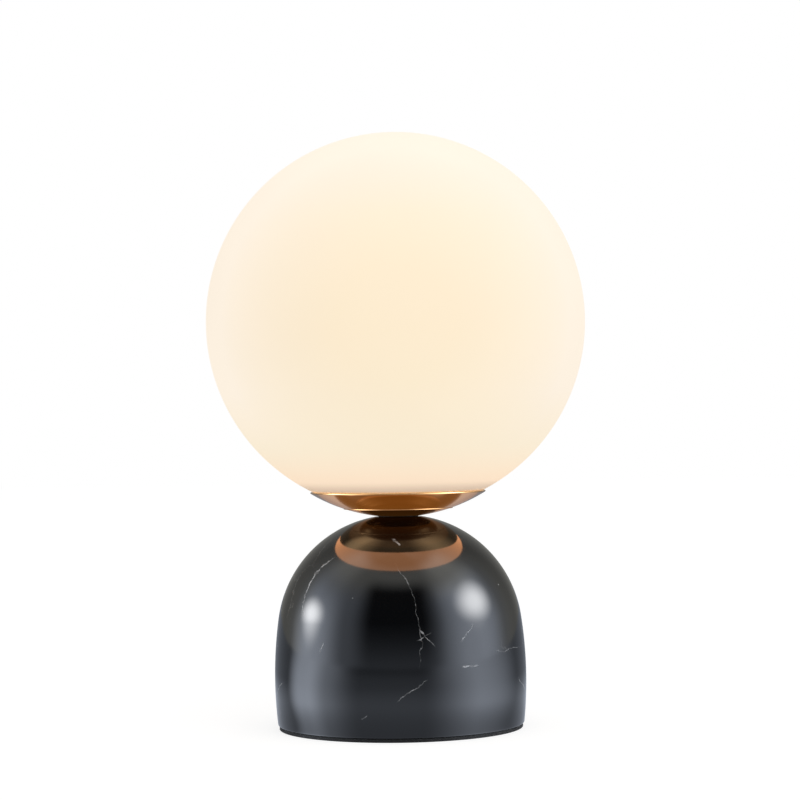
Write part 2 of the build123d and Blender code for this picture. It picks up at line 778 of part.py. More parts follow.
def main():
    os.makedirs("parts", exist_ok=True)
    save("base_pad", base_pad())
    save("marble_base", marble_base())
    save("cord_bush", cord_bush())
    save("wiring_plate", wiring_plate())
    save("cord_clamp", cord_clamp())
    save("cord_clamp_screws", *cord_clamp_screws())
    save("terminal_block", terminal_block())
    save("terminal_barrels", *terminal_barrels())
    save("terminal_screws", *terminal_screws())
    save("terminal_block_screw", terminal_block_screw())
    save("base_lock_washer", base_lock_washer())
    save("base_nut", base_nut())
    save("threaded_tube", threaded_tube())
    save("tube_end_bush", tube_end_bush())
    save("dome_washer", dome_washer())
    save("brass_dish", brass_dish())
    save("globe_seat", globe_seat())
    save("globe_spring", globe_spring())
    save("dish_washer", dish_washer())
    save("dish_nut", dish_nut())
    save("holder_cup", holder_cup())
    save("holder_body", holder_body())
    save("holder_contacts", *holder_contacts())
    save("holder_screws", *holder_screws())
    save("live_lead", live_lead())
    save("neutral_lead", neutral_lead())
    save("glass_globe", glass_globe())
    save("bulb_base", bulb_base())
    save("bulb_cover", bulb_cover())
    save("bulb_board", bulb_board())
    save("bulb_leds", *bulb_leds())
    save("bulb_pins", *bulb_pins())
    print("globe centre", round(globe_centre_z, 3), "top", round(globe_centre_z + globe_radius, 3))


main()
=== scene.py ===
import math

import bmesh
import bpy
from bpy.props import FloatProperty, FloatVectorProperty, PointerProperty
from mathutils import Matrix, Quaternion, Vector


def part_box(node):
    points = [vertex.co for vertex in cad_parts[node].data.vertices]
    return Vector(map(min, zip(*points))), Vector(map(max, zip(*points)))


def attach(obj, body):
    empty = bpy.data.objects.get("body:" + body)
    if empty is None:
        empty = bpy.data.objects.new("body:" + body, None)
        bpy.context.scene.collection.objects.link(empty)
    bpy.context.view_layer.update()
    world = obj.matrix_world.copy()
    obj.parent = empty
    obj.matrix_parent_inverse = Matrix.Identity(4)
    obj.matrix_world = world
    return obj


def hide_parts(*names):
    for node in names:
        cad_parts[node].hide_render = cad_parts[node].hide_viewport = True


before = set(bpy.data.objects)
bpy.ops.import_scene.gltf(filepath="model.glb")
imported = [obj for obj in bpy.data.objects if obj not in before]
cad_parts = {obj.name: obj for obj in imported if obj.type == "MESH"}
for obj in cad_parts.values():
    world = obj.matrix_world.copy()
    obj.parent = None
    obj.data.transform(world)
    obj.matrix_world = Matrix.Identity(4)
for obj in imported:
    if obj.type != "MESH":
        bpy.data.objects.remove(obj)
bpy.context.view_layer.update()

bl_info = {
    "name": "Glass Globe Table Lamp",
    "version": (1, 0, 0),
    "blender": (4, 5, 0),
    "location": "3D Viewport > Sidebar > Globe Lamp",
    "description": "Dresses the packed globe lamp with its glass, brass, marble and fittings",
    "category": "Object",
}

# Metres, +Z up. The origin is the centre of the pad's underside, on the table.
# The front faces -Y and the cord inlet faces +Y.
MM = 0.001
FULL_TURN = 2 * math.pi
TURN_STEPS = 224

# The tube and the cord's bush, and the gaps round what screws or slides in
TUBE_RADIUS = 5 * MM
BUSH_SLEEVE = 5 * MM
BUSH_FLANGE = 7 * MM
BUSH_FLANGE_DEPTH = 2 * MM
THREAD_GAP = 0.05 * MM
FIT_GAP = 0.1 * MM

# Each vein is a thin sheet through the stone, in millimetres: it bends about a
# centre (across, up) with a radius, fades out at a reach from its middle
# (across, up), and has a width and a strength.
FRONT_VEINS = (
    (-20.9, 65.3, 28.6, -44.0, 79.0, 18.0, 0.45, 0.8),
    (-71.4, 46.3, 82.0, 8.5, 64.0, 28.0, 0.27, 0.34),
    (-63.2, -12.1, 100.0, 13.7, 51.8, 6.5, 0.4, 0.7),
    (-30.0, 130.0, 88.0, 12.0, 53.0, 4.5, 0.35, 0.6),
    (59.9, -57.9, 100.0, 5.8, 26.2, 10.0, 0.4, 0.75),
    (35.0, 137.0, 100.0, 35.2, 37.0, 4.5, 0.45, 0.8),
    (56.0, 143.0, 100.0, 56.0, 43.1, 8.0, 0.35, 0.4),
    (-28.0, 57.8, 50.0, -0.9, 99.8, 3.0, 0.5, 1.0),
    (-20.0, 90.0, 65.0, 34.0, 54.0, 6.0, 0.5, 0.7),
    (-90.0, 60.0, 52.0, -39.6, 46.9, 3.0, 0.4, 0.6),
    (10.0, -60.0, 78.0, -18.2, 12.6, 2.0, 0.5, 0.6),
)
SIDE_VEINS = (
    (-80.0, 70.0, 70.0, -12.0, 62.0, 24.0, 0.4, 0.6),
    (70.0, 20.0, 60.0, 14.0, 34.0, 14.0, 0.35, 0.6),
    (0.0, 150.0, 90.0, 20.0, 62.0, 10.0, 0.4, 0.7),
    (-60.0, -40.0, 75.0, -20.0, 24.0, 8.0, 0.4, 0.7),
)

# The studio as polished stone and brass mirror it, in soft ramps. Angles are in
# degrees, round the room from the front towards +X and up from the horizon. A
# ramp has a start, an end and what it gives at each; a ramp with a middle runs
# out from there to both sides.
WHITE = (1.0, 1.0, 1.0, 1.0)
COOL_WALL = (0.85, 0.93, 1.08, 1.0)
WARM_WALL = (1.0, 1.0, 0.94, 1.0)
WALL_LEVEL = 0.3
# Pale wall before the lamp and a broad soft window at each side: its middle and
# ramp round the room, then its ramp up the wall
WALL_PATCHES = (
    (0, (95, 145, 0.8, 0.0), (0, 90, 1.0, 1.0)),
    (-88, (4, 36, 3.0, 0.0), (8, 42, 1.0, 0.2)),
    (74, (6, 44, 2.8, 0.0), (34, 52, 1.0, 0.4)),
)
# The dark opening straight in front, and the dim ceiling
OPENING_MIDDLE = -3
OPENING_ROUND = (24, 50, 0.97, 0.0)
OPENING_UP = ((-16, 14, 0.0, 1.0), (42, 60, 1.0, 0.0))
CEILING_UP = (62, 74, 1.0, 0.25)
# Where the walls turn from cool to warm
COOL_ROUND = (95, 135, 1.0, 0.0)
COOL_UP = (28, 56, 1.0, 0.0)
# Round soft lights: place round the room and up, half-width, half-height, level
SOFT_SPOTS = (
    (81, 24, 28, 19, 11.5),
    (-94, 13.5, 19, 13, 12.0),
)
# Painted light and shade on the paper, which only reflections see:
# The paper in reflections: bright towards the windows, dim behind and, far off,
# in front, with one streak on the left
PAPER_WINDOWS = (-8, (26, 82, 0.6, 3.9))
PAPER_BEHIND = (4, (62, 125, 1.0, 0.08))
PAPER_PAINTED_STREAK = (-94, (5, 27, 2.2, 0.0))
PAPER_FRONT = (-10, (24, 50, 0.5, 0.0))
# Its ramps by distance, in metres from the axis
PAPER_FAR = (0.08, 1.5, 0.0, 1.0)
# Painted shade near the foot, and painted light added close in
PAPER_FOOT_SHADE = (0.07, 0.17, 0.45, 1.0)
PAPER_CLOSE_LIGHT = (0.1, 0.36, 0.42, 0.0)
FOOT_REACH = 66 * MM
# How strongly the paper shines for other rays, and for the camera and through glass
PAPER_SENDS = 0.4
PAPER_SHOWS = 0.78


# The finishes of the fittings. Each has the colour of its ground, as a code or the
# name of a setting, and of its spots, a roughness, the spots' size and height in
# millimetres, a metallic level and an IOR. Then come its slot and its pieces, each
# with the rounding of its edges in millimetres.
FITTING_FINISHES = (
    # Nylon, moulded with black pigment: satin, with a fine spark texture
    ("Black nylon, moulded", "#121212", "#1E1E1F",
     0.42, 0.9, 0.03, 0.0, 1.53, "black_nylon", (
         ("cord_bush", "inlet_bush", 0.15),)),
    # Steel, pressed or turned, with bright zinc plating: bluish, lightly clouded
    ("Steel, zinc plated", "zinc", "#A9B0BA",
     0.3, 2.5, 0.01, 1.0, 1.5, "zinc_steel", (
         ("wiring_plate", "recess_plate", 0.15),
         ("base_lock_washer", "lock_washer", 0.12),
         ("base_nut", "lower_nut", 0.12),
         ("threaded_tube", "hollow_tube", 0.15),
         ("dish_washer", "upper_washer", 0.12),
         ("dish_nut", "upper_nut", 0.12),
         ("holder_cup", "steel_cup", 0.12))),
    # Nylon, moulded: creamy, with a fine spark texture
    ("Nylon, moulded", "nylon", "#D6CFBC",
     0.45, 1.5, 0.02, 0.0, 1.53, "natural_nylon", (
         ("cord_clamp", "clamp_bar", 0.3),
         ("terminal_block", "connector_block", 0.25),
         ("tube_end_bush", "end_bush", 0.15))),
    # Brass rod, drawn and left bare: yellower and duller than the dish
    ("Brass rod, drawn", "#D8B063", "#B58A44",
     0.3, 1.5, 0.01, 1.0, 1.5, "bare_brass", (
         ("terminal_barrels", "barrels", 0.1),)),
    # Steel screws, thread-rolled: greyer than the plated parts
    ("Steel screws, bright", "#B4B2AD", "#8F8D88",
     0.28, 1.2, 0.01, 1.0, 1.5, "screw_steel", (
         ("terminal_screws", "barrel_screws", 0.08),
         ("terminal_block_screw", "block_screw", 0.08),
         ("cord_clamp_screws", "clamp_screws", 0.08),
         ("holder_screws", "ceramic_screws", 0.08))),
    # Rubber sheet, cut: dull black
    ("Rubber sheet, cut", "#161616", "#232323",
     0.8, 0.8, 0.03, 0.0, 1.52, "black_rubber", (
         ("dome_washer", "soft_washer", 0.08),)),
    # Spring steel, stamped and tempered: straw to blue tint
    ("Spring steel, tempered", "#A8A49B", "#7F8796",
     0.26, 3.0, 0.01, 1.0, 1.5, "spring_steel", (
         ("globe_spring", "finger_spring", 0.06),)),
    # Steatite, pressed and glazed: off white, glossy, with faint orange peel
    ("Steatite, glazed", "ceramic", "#E4DDCD",
     0.14, 2.0, 0.03, 0.0, 1.52, "ceramic", (
         ("holder_body", "ceramic_insert", 0.25),)),
    # Phosphor bronze strip, stamped: reddish, softly shining
    ("Phosphor bronze, stamped", "#C88F5A", "#A87044",
     0.3, 1.5, 0.01, 1.0, 1.5, "bronze", (
         ("holder_contacts", "forked_contacts", 0.05),)),
    # PVC insulation, extruded: smooth, with a soft shine
    ("Brown PVC, extruded", "#5A3420", "#6B4129",
     0.4, 1.0, 0.01, 0.0, 1.53, "brown_insulation", (
         ("live_lead", "brown_lead", 0.0),)),
    ("Blue PVC, extruded", "#2B62A8", "#3A74BC",
     0.4, 1.0, 0.01, 0.0, 1.53, "blue_insulation", (
         ("neutral_lead", "blue_lead", 0.0),)),
    # PBT, moulded white: satin
    ("White PBT, moulded", "#ECEAE4", "#E0DDD4",
     0.38, 1.2, 0.015, 0.0, 1.57, "white_pbt", (
         ("bulb_base", "bulb_foot", 0.15),)),
    # Glass epoxy board with white solder mask: even and slightly shiny
    ("Glass epoxy board, white mask", "#E8E9E4", "#D5D8D2",
     0.35, 0.8, 0.01, 0.0, 1.5, "circuit_board", (
         ("bulb_board", "chip_board", 0.08),)),
    # Phosphor in silicone over each chip: egg yellow and glossy
    ("Phosphor in silicone", "#E8D24A", "#DDBB33",
     0.3, 0.6, 0.01, 0.0, 1.41, "led_phosphor", (
         ("bulb_leds", "chips", 0.1),)),
    # Nickel wire, drawn: bright, faintly yellow
    ("Nickel wire, drawn", "#C9C4B8", "#ABA598",
     0.24, 1.0, 0.005, 1.0, 1.5, "nickel_wire", (
         ("bulb_pins", "wire_pins", 0.0),)),
)


def linear(code):
    """Turn an sRGB hex colour into the linear values that shaders take."""
    channels = [int(code[i:i + 2], 16) / 255 for i in (1, 3, 5)]
    lit = [c / 12.92 if c <= 0.04045 else ((c + 0.055) / 1.055) ** 2.4 for c in channels]
    return (*lit, 1.0)


def length_setting(name, description, millimetres):
    return FloatProperty(
        name=name, description=description, default=millimetres * MM, min=0.0,
        unit="LENGTH", subtype="DISTANCE", precision=4,
    )


def angle_setting(name, description, degrees):
    return FloatProperty(
        name=name, description=description, default=math.radians(degrees), subtype="ANGLE")


def colour_setting(name, description, code):
    return FloatVectorProperty(
        name=name, description=description, default=linear(code), size=4,
        min=0.0, max=1.0, subtype="COLOR",
    )


# Sizes and colours

class GlobeSettings(bpy.types.PropertyGroup):
    """The blown opal globe"""

    radius: length_setting("Radius", "Outer radius of the ball", 100.0)
    wall: length_setting("Wall", "Thickness of the glass", 2.5)
    mouth_radius: length_setting("Mouth radius", "Half the width of the opening below", 24.0)
    glass: colour_setting("Glass", "Colour of the opal glass by day", "#DDD6CB")
    glow_top: colour_setting("Glow at the top", "Light at the top of the glass", "#B6A294")
    glow_middle: colour_setting("Glow at the middle", "Light beside the bulb", "#BBA783")
    # Painted light as well as glow: brighter below the bulb and at the foot to even out the shade
    # from below
    glow_low: colour_setting("Glow below the bulb", "Light under the bulb", "#BBAC8B")
    glow_foot: colour_setting("Glow at the foot", "Light just above the dish", "#C8AA8A")
    # Painted shade: the glow darkens just above the dish's rim
    glow_rim_shade: colour_setting("Glow at the rim", "Light close to the dish's rim", "#785838")
    # Painted sheen: a paler glow where the glass is seen aslant
    glow_edge_sheen: colour_setting("Glow at the edge", "Light through glass seen aslant", "#BFB3A3")


class DishSettings(bpy.types.PropertyGroup):
    """The spun brass dish and the ring the globe sits on"""

    radius: length_setting("Radius", "Outer radius at the rounded rim", 46.3)
    wall: length_setting("Wall", "Thickness of the brass", 0.9)
    land_radius: length_setting("Land radius", "Radius of the flat middle", 11.1)
    bead_radius: length_setting("Bead radius", "Radius of the fine bead outside", 28.6)
    bead_size: length_setting("Bead size", "How far the bead stands proud", 0.3)
    glass_gap: length_setting("Glass gap", "Gap between the rim and the glass", 0.35)
    seat_inner: length_setting("Ring inside", "Inner radius of the silicone ring", 29.0)
    seat_outer: length_setting("Ring outside", "Outer radius of the silicone ring", 37.0)
    seat_thickness: length_setting("Ring thickness", "Thickness of the silicone ring", 0.95)
    seat_gap: length_setting("Ring gap", "Gap between the ring and the glass", 0.25)
    brass: colour_setting("Brass", "Polished brass", "#DCAE78")
    tarnish: colour_setting("Tarnish", "Where the brass has dulled", "#CB9A62")
    spin_line: length_setting("Spinning line", "Spacing of the fine lines left by spinning", 0.6)


class MarbleSettings(bpy.types.PropertyGroup):
    """The turned marble dome"""

    apex: length_setting("Apex height", "Height the crown arc would reach", 112.1)
    land_depth: length_setting("Land depth", "How far the flat top lies below the apex", 1.1)
    crown_curve: length_setting("Crown curve", "Radius of the crown arc", 72.0)
    shoulder_curve: length_setting("Shoulder curve", "Radius of the shoulder arc", 62.4)
    side_curve: length_setting("Side curve", "Radius of the side arc", 220.0)
    crown_slope: angle_setting("Crown slope", "Slope where the crown meets the shoulder", 13.3)
    shoulder_slope: angle_setting("Shoulder slope", "Slope where the shoulder meets the side", 81.7)
    edge_round: length_setting("Foot round", "Rounding of the lower edge", 1.0)
    recess_radius: length_setting("Recess radius", "Radius of the wiring recess", 35.0)
    recess_top: length_setting("Recess top", "Height of the recess's ceiling", 30.0)
    tube_hole: length_setting("Tube hole", "Radius of the hole for the tube", 6.0)
    inlet_height: length_setting("Inlet height", "Height of the cord inlet at the back", 12.0)
    pad_height: length_setting("Pad height", "Thickness of the foam pad", 2.0)
    stone: colour_setting("Stone", "The black ground of the marble", "#040506")
    cloud: colour_setting("Cloud", "The greyer clouds in the stone", "#08090B")
    vein: colour_setting("Vein", "The calcite veins", "#D6D8DC")


class FittingSettings(bpy.types.PropertyGroup):
    """The fittings inside"""

    zinc: colour_setting("Zinc", "Bright zinc plating", "#C4C8CC")
    nylon: colour_setting("Nylon", "Uncoloured nylon", "#E6E1D3")
    ceramic: colour_setting("Ceramic", "Glazed steatite", "#F1EDE3")
    bulb_glow: colour_setting("Bulb glow", "Light through the bulb's cover", "#FFE6B8")


class StageSettings(bpy.types.PropertyGroup):
    """The floor, the light and the camera"""

    distance: length_setting("Camera distance", "From the lens to the lamp's axis", 1227.0)
    height: length_setting("Camera height", "Height of the lens above the table", 155.0)
    aim: length_setting("Aim height", "Height on the axis that the camera looks at", 172.5)
    aside: length_setting("Camera aside", "How far the camera stands right of the axis", 1.8)
    lens: FloatProperty(name="Lens", description="Focal length in millimetres", default=104.4)
    roll: angle_setting("Roll", "The camera's small tilt", -0.85)
    room_light: FloatProperty(
        name="Room light", description="Level of the plain light from all sides", default=0.6)
    lamp_power: FloatProperty(
        name="Lamp power", description="Power of the soft overhead lamp", default=5.0, unit="POWER")
    glow_power: FloatProperty(
        name="Glow power", description="Power of the globe's own light", default=2.15, unit="POWER")


class LampSettings(bpy.types.PropertyGroup):
    """All the lamp's settings"""

    globe: PointerProperty(type=GlobeSettings)
    dish: PointerProperty(type=DishSettings)
    marble: PointerProperty(type=MarbleSettings)
    fittings: PointerProperty(type=FittingSettings)
    stage: PointerProperty(type=StageSettings)


# Drawing and turning outlines

def start_outline(radius, height):
    """Begin an outline in the XZ plane."""
    bm = bmesh.new()
    return bm, bm.verts.new((radius, 0, height))


def line_to(bm, vert, radius, height):
    """Draw a straight run and return its end."""
    end = bmesh.ops.extrude_vert_indiv(bm, verts=[vert])["verts"][0]
    end.co = (radius, 0, height)
    return end


def arc_to(bm, vert, centre, angle, steps):
    """Draw an arc about a centre in the XZ plane and return its end. A positive
    angle turns from straight up towards +X."""
    spun = bmesh.ops.spin(
        bm, geom=[vert], cent=(centre[0], 0, centre[1]), axis=(0, 1, 0),
        angle=angle, steps=steps, use_duplicate=False,
    )
    return [item for item in spun["geom_last"] if isinstance(item, bmesh.types.BMVert)][0]


def close_outline(bm, first, last):
    bm.edges.new((last, first))


def turn(bm, steps=TURN_STEPS):
    """Spin the outline about the lamp's axis into a closed shape."""
    bmesh.ops.spin(
        bm, geom=bm.verts[:] + bm.edges[:], cent=(0, 0, 0), axis=(0, 0, 1),
        angle=FULL_TURN, steps=steps, use_merge=True, use_duplicate=False,
    )
    bmesh.ops.remove_doubles(bm, verts=bm.verts, dist=0.002 * MM)
    bmesh.ops.dissolve_degenerate(bm, edges=bm.edges, dist=0.001 * MM)
    bmesh.ops.recalc_face_normals(bm, faces=bm.faces)


def point_on(centre, radius, angle):
    """A point of an arc, by its angle from straight up."""
    return centre[0] + radius * math.sin(angle), centre[1] + radius * math.cos(angle)


def ring_edges(bm, radius, height):
    """The edges of one circle about the axis."""
    def on_circle(vert):
        reach = math.hypot(vert.co.x, vert.co.y)
        return abs(reach - radius) < 0.02 * MM and abs(vert.co.z - height) < 0.02 * MM
    return [edge for edge in bm.edges if all(on_circle(vert) for vert in edge.verts)]


def round_edges(bm, edges, width, segments):
    bmesh.ops.bevel(
        bm, geom=edges, offset=width, offset_type="OFFSET", segments=segments,
        profile=0.5, affect="EDGES", clamp_overlap=True, material=-1,
    )


def make_piece(bm, name, material, sharp=35):
    """Turn a bmesh into an object, smooth but for its sharp edges."""
    mesh = bpy.data.meshes.new(name)
    bm.to_mesh(mesh)
    bm.free()
    mesh.polygons.foreach_set("use_smooth", [True] * len(mesh.polygons))
    mesh.set_sharp_from_angle(angle=math.radians(sharp))
    mesh.materials.append(material)
    piece = bpy.data.objects.new(name, mesh)
    bpy.context.scene.collection.objects.link(piece)
    return piece


def put_in_place(piece, body, node):
    """Carry the piece on its body in place of the solids it stands for."""
    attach(piece, body)
    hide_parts(node)


def finished_copy(node, name, material, edge):
    """A copy of a solid with its triangles joined and its edges rounded."""
    bm = bmesh.new()
    bm.from_mesh(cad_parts[node].data)
    bmesh.ops.remove_doubles(bm, verts=bm.verts, dist=0.003 * MM)
    bmesh.ops.dissolve_limit(
        bm, angle_limit=math.radians(0.5), verts=bm.verts, edges=bm.edges,
        use_dissolve_boundaries=False,
    )
    piece = make_piece(bm, name, material, sharp=32)
    if edge:
        bevel = piece.modifiers.new("Worn edges", "BEVEL")
        bevel.width = edge
        bevel.segments = 2
        bevel.limit_method = "ANGLE"
        bevel.angle_limit = math.radians(40)
        bevel.harden_normals = True
    put_in_place(piece, "bulb" if node.startswith("bulb_") else "base", node)


# Materials

def feed(tree, node, links):
    """Give inputs of a node a value, another node's first output or any output."""
    for key, value in links.items():
        if isinstance(value, bpy.types.Node):
            value = value.outputs[0]
        if isinstance(value, bpy.types.NodeSocket):
            tree.links.new(value, node.inputs[key])
        else:
            node.inputs[key].default_value = value


def add(tree, kind, links=None, **settings):
    """Add a node with its settings and links."""
    node = tree.nodes.new("ShaderNode" + kind)
    for key, value in settings.items():
        setattr(node, key, value)
    feed(tree, node, links or {})
    return node


def start_finish(name, colour, roughness, metallic=0.0, ior=1.5):
    """A new material with its colour, gloss and refraction set."""
    material = bpy.data.materials.new(name)
    material.use_nodes = True
    tree = material.node_tree
    shader = tree.nodes["Principled BSDF"]
    feed(tree, shader, {
        "Base Color": colour, "Roughness": roughness, "Metallic": metallic, "IOR": ior})
    place = add(tree, "TexCoord").outputs["Object"]
    return material, tree, shader, place


def per_metre(millimetres):
    """A texture's scale for a feature of this size."""
    return 1 / (millimetres * MM)


def ramps(tree, *runs, shape="SMOOTHSTEP"):
    """The product of ramps, each (value, (start, end, given there first, last))."""
    total = 1.0
    for value, (start, end, first, last) in runs:
        share = add(tree, "MapRange", {
            "Value": value, "From Min": start, "From Max": end, "To Min": first, "To Max": last,
        }, interpolation_type=shape)
        total = add(tree, "Math", {0: total, 1: share}, operation="MULTIPLY")
    return total


def either_way(tree, value, middle):
    """How far a value lies from a middle, to either side."""
    off = add(tree, "Math", {0: value, 1: middle}, operation="SUBTRACT")
    return add(tree, "Math", {0: off}, operation="ABSOLUTE")


def degrees_round(tree, parts):
    """The angle round the lamp's axis, in degrees from the front towards +X."""
    ahead = add(tree, "Math", {0: parts["Y"], 1: -1.0}, operation="MULTIPLY")
    angle = add(tree, "Math", {0: parts["X"], 1: ahead}, operation="ARCTAN2")
    return add(tree, "Math", {0: angle}, operation="DEGREES")


def seen_straight(tree, rays):
    """1 for what the camera sees, straight or through glass, and 0 otherwise."""
    return add(tree, "Math", {
        0: rays["Is Camera Ray"], 1: rays["Is Transmission Ray"]}, operation="MAXIMUM")


def opal_glass(globe):
    # Opal glass, blown and satin: even white, lit from inside. It is so much brighter
    # than the room that no reflection shows on it.
    material, tree, shader, place = start_finish("Opal glass, blown", globe.glass, 0.42)
    low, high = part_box("glass_globe")
    height = add(tree, "SeparateXYZ", {"Vector": place}).outputs["Z"]
    share = add(tree, "MapRange", {"Value": height, "From Min": low.z, "From Max": high.z})
    glow = add(tree, "ValToRGB", {"Fac": share})
    elements = glow.color_ramp.elements
    # Besides the glow, the stops paint shade just above the dish's rim, and light below the bulb
    # and at the foot that evens out the shade from below
    stops = (
        (0.035, globe.glow_rim_shade), (0.065, globe.glow_foot), (0.16, globe.glow_low),
        (0.45, globe.glow_middle), (0.75, globe.glow_middle), (1.0, globe.glow_top),
    )
    for count, (position, colour) in enumerate(stops):
        # A new ramp already has two stops
        stop = elements[count] if count < 2 else elements.new(position)
        stop.position = position
        stop.color = colour
    # A painted sheen: the glow turns paler where the glass is seen aslant, in place of the
    # reflection that is switched off
    aslant = add(tree, "LayerWeight", {"Blend": 0.5}).outputs["Facing"]
    edge = ramps(
        tree, (aslant, (0.05, 0.6, 0.0, 1.0)), (share, (0.08, 0.3, 0.0, 1.0)), shape="LINEAR")
    glow = add(tree, "Mix", {"Factor": edge, 6: glow, 7: globe.glow_edge_sheen}, data_type="RGBA")
    clouds = add(tree, "TexNoise", {"Vector": place, "Scale": per_metre(60), "Detail": 2.0})
    thickness = add(tree, "MapRange", {"Value": clouds, "To Min": 0.96, "To Max": 1.04})
    light = add(tree, "VectorMath", {0: glow.outputs[2], "Scale": thickness}, operation="SCALE")
    satin = add(tree, "TexNoise", {"Vector": place, "Scale": per_metre(0.8), "Detail": 3.0})
    feed(tree, shader, {
        "Emission Color": light, "Emission Strength": 1.0, "Specular IOR Level": 0.0,
        "Roughness": add(tree, "MapRange", {"Value": satin, "To Min": 0.38, "To Max": 0.5}),
    })
    return material


def spun_brass(dish):
    # Brass sheet, spun and polished: warm metal with faint rings round the axis
    # that stretch each reflection a little.
    material, tree, shader, place = start_finish(
        "Brass, spun and polished", dish.brass, 0.16, metallic=1.0)
    across = add(tree, "VectorMath", {0: place, 1: (1, 1, 0)}, operation="MULTIPLY")
    reach = add(tree, "VectorMath", {0: across}, operation="LENGTH").outputs["Value"]
    rings = add(tree, "TexNoise", {
        "W": reach, "Scale": 1 / dish.spin_line, "Detail": 3.0}, noise_dimensions="1D")
    cloud = add(tree, "TexNoise", {"Vector": place, "Scale": per_metre(14), "Detail": 4.0})
    dull = add(tree, "MapRange", {"Value": cloud, "To Min": 0.0, "To Max": 0.5})
    tint = add(tree, "Mix", {"Factor": dull, 6: dish.brass, 7: dish.tarnish}, data_type="RGBA")
    feed(tree, shader, {
        "Base Color": tint.outputs[2],
        "Roughness": add(tree, "MapRange", {"Value": rings, "To Min": 0.07, "To Max": 0.16}),
        "Anisotropic": 0.6,
        "Tangent": add(tree, "Tangent", direction_type="RADIAL", axis="Z"),
    })
    return material


def vein_share(tree, view, wander, vein):
    """How strongly one vein shows at a point."""
    across, up, radius, middle, height, reach, width, strength = vein
    away = add(tree, "VectorMath", {0: view, 1: (across, 0, up)}, operation="DISTANCE")
    drift = add(tree, "Math", {0: away.outputs["Value"], 1: wander}, operation="ADD")
    far = add(tree, "VectorMath", {0: view, 1: (middle, 0, height)}, operation="DISTANCE")
    return ramps(
        tree, (either_way(tree, drift, radius), (0.0, width, strength, 0.0)),
        (far.outputs["Value"], (reach * 0.6, reach, 1.0, 0.0)))


def black_marble(stone):
    # Black marble, turned and polished to a mirror: deep near-black ground, slow
    # grey clouds, and calcite veins that fade in and out.
    material, tree, shader, place = start_finish(
        "Black marble, polished", stone.stone, 0.1, ior=1.49)
    clouds = add(tree, "TexNoise", {"Vector": place, "Scale": per_metre(38), "Detail": 5.0})
    ground = add(tree, "Mix", {"Factor": clouds, 6: stone.stone, 7: stone.cloud}, data_type="RGBA")
    bend = add(tree, "TexNoise", {
        "Vector": place, "Scale": per_metre(9), "Detail": 4.0, "Roughness": 0.6})
    wander = add(tree, "MapRange", {"Value": bend, "To Min": -3.0, "To Max": 3.0})
    scaled = add(tree, "VectorMath", {0: place, "Scale": 1 / MM}, operation="SCALE")
    parts = add(tree, "SeparateXYZ", {"Vector": scaled}).outputs
    front = add(tree, "CombineXYZ", {"X": parts["X"], "Z": parts["Z"]})
    side = add(tree, "CombineXYZ", {"X": parts["Y"], "Z": parts["Z"]})
    # The veins and hairlines of the sides stop short of the front
    beside = (parts["Y"], (-46.0, -30.0, 0.0, 1.0))
    marks = 0.0
    for view, veins, kept in ((front, FRONT_VEINS, 1.0), (side, SIDE_VEINS, ramps(tree, beside))):
        for vein in veins:
            share = vein_share(tree, view, wander, vein)
            share = add(tree, "Math", {0: share, 1: kept}, operation="MULTIPLY")
            marks = add(tree, "Math", {0: marks, 1: share}, operation="MAXIMUM")
    # The calcite comes and goes along each vein
    breaks = add(tree, "TexNoise", {"Vector": place, "Scale": per_metre(2.6), "Detail": 3.0})
    kept = ramps(tree, (breaks, (0.42, 0.62, 0.2, 1.0)))
    marks = add(tree, "Math", {0: marks, 1: kept}, operation="MULTIPLY")
    # Hairlines: the walls between large cells, shown only where a slow noise is high
    twist = add(tree, "VectorMath", {0: bend.outputs["Color"], "Scale": 14 * MM}, operation="SCALE")
    bent = add(tree, "VectorMath", {0: place, 1: twist}, operation="ADD")
    cells = add(tree, "TexVoronoi", {
        "Vector": bent, "Scale": per_metre(46)}, feature="DISTANCE_TO_EDGE")
    patches = add(tree, "TexNoise", {"Vector": place, "Scale": per_metre(30), "Detail": 2.0})
    hairlines = ramps(
        tree, (cells.outputs["Distance"], (0.0, 0.012, 1.0, 0.0)),
        (patches, (0.55, 0.7, 0.0, 0.14)), beside)
    # Specks of calcite under a millimetre wide
    grains = add(tree, "TexVoronoi", {"Vector": place, "Scale": per_metre(9)}, feature="F1")
    speck = ramps(tree, (grains.outputs["Distance"], (0.03, 0.07, 0.5, 0.0)))
    rare = add(tree, "Math", {0: grains.outputs["Color"], 1: 0.72}, operation="GREATER_THAN")
    specks = add(tree, "Math", {0: speck, 1: rare}, operation="MULTIPLY")
    for more in (hairlines, specks):
        marks = add(tree, "Math", {0: marks, 1: more}, operation="MAXIMUM")
    # Polishing leaves a faint ripple of a few thousandths of a millimetre
    ripple = add(tree, "TexNoise", {"Vector": place, "Scale": per_metre(5), "Detail": 2.0})
    tint = add(tree, "Mix", {
        "Factor": marks, 6: ground.outputs[2], 7: stone.vein}, data_type="RGBA")
    feed(tree, shader, {
        "Base Color": tint.outputs[2],
        "Roughness": add(tree, "MapRange", {"Value": marks, "To Min": 0.09, "To Max": 0.2}),
        "Normal": add(tree, "Bump", {"Height": ripple, "Distance": 0.008 * MM, "Strength": 0.4}),
    })
    return material


